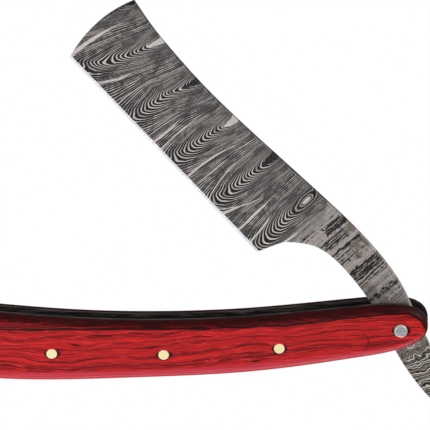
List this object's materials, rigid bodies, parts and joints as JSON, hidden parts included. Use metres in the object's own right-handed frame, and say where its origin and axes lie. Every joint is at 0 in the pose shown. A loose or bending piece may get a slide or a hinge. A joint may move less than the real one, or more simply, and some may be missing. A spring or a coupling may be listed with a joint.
{
  "type": "straight razor",
  "caption": "Folding straight razor with a hollow-ground pattern-welded steel blade, curved tail, and wooden scales joined by brass pins and a steel pivot.",
  "frame": {"origin": "on the blade's pivot axis, in the flat outer face of the back scale", "axes": "+X along the handle, from the butt towards the pivot end and the blade's tail; +Y in the plane of the razor, towards the side where the blade opens; +Z square to the scales, from the back scale to the front scale"},
  "size_m": [0.1633, 0.1356, 0.0128],
  "materials": {
    "red_wood": "polished and lacquered, dyed red, dark grain",
    "black_liner": "black fibre, satin",
    "black_spacer": "black fibre, satin",
    "pivot_steel": "peened and lightly polished",
    "washer_brass": "satin",
    "pin_brass": "polished flush",
    "blade_steel": "etched pattern-welded layers, honed edge"
  },
  "bodies": {
    "handle": {"back_scale": "red_wood", "back_liner": "black_liner", "end_spacer": "black_spacer", "front_liner": "black_liner", "front_scale": "red_wood", "pivot_pin": "pivot_steel", "back_washer": "washer_brass", "front_washer": "washer_brass", "toe_pin": "pin_brass", "middle_pin": "pin_brass", "heel_pin": "pin_brass"},
    "blade": {"blade": "blade_steel"}
  },
  "joints": [
    {"name": "blade_swing", "type": "hinge", "parent": "handle", "child": "blade", "pos_m": [0, 0, 0.0057], "axis": [0, 0, 1], "range_deg": [-280, 39.5]}
  ]
}
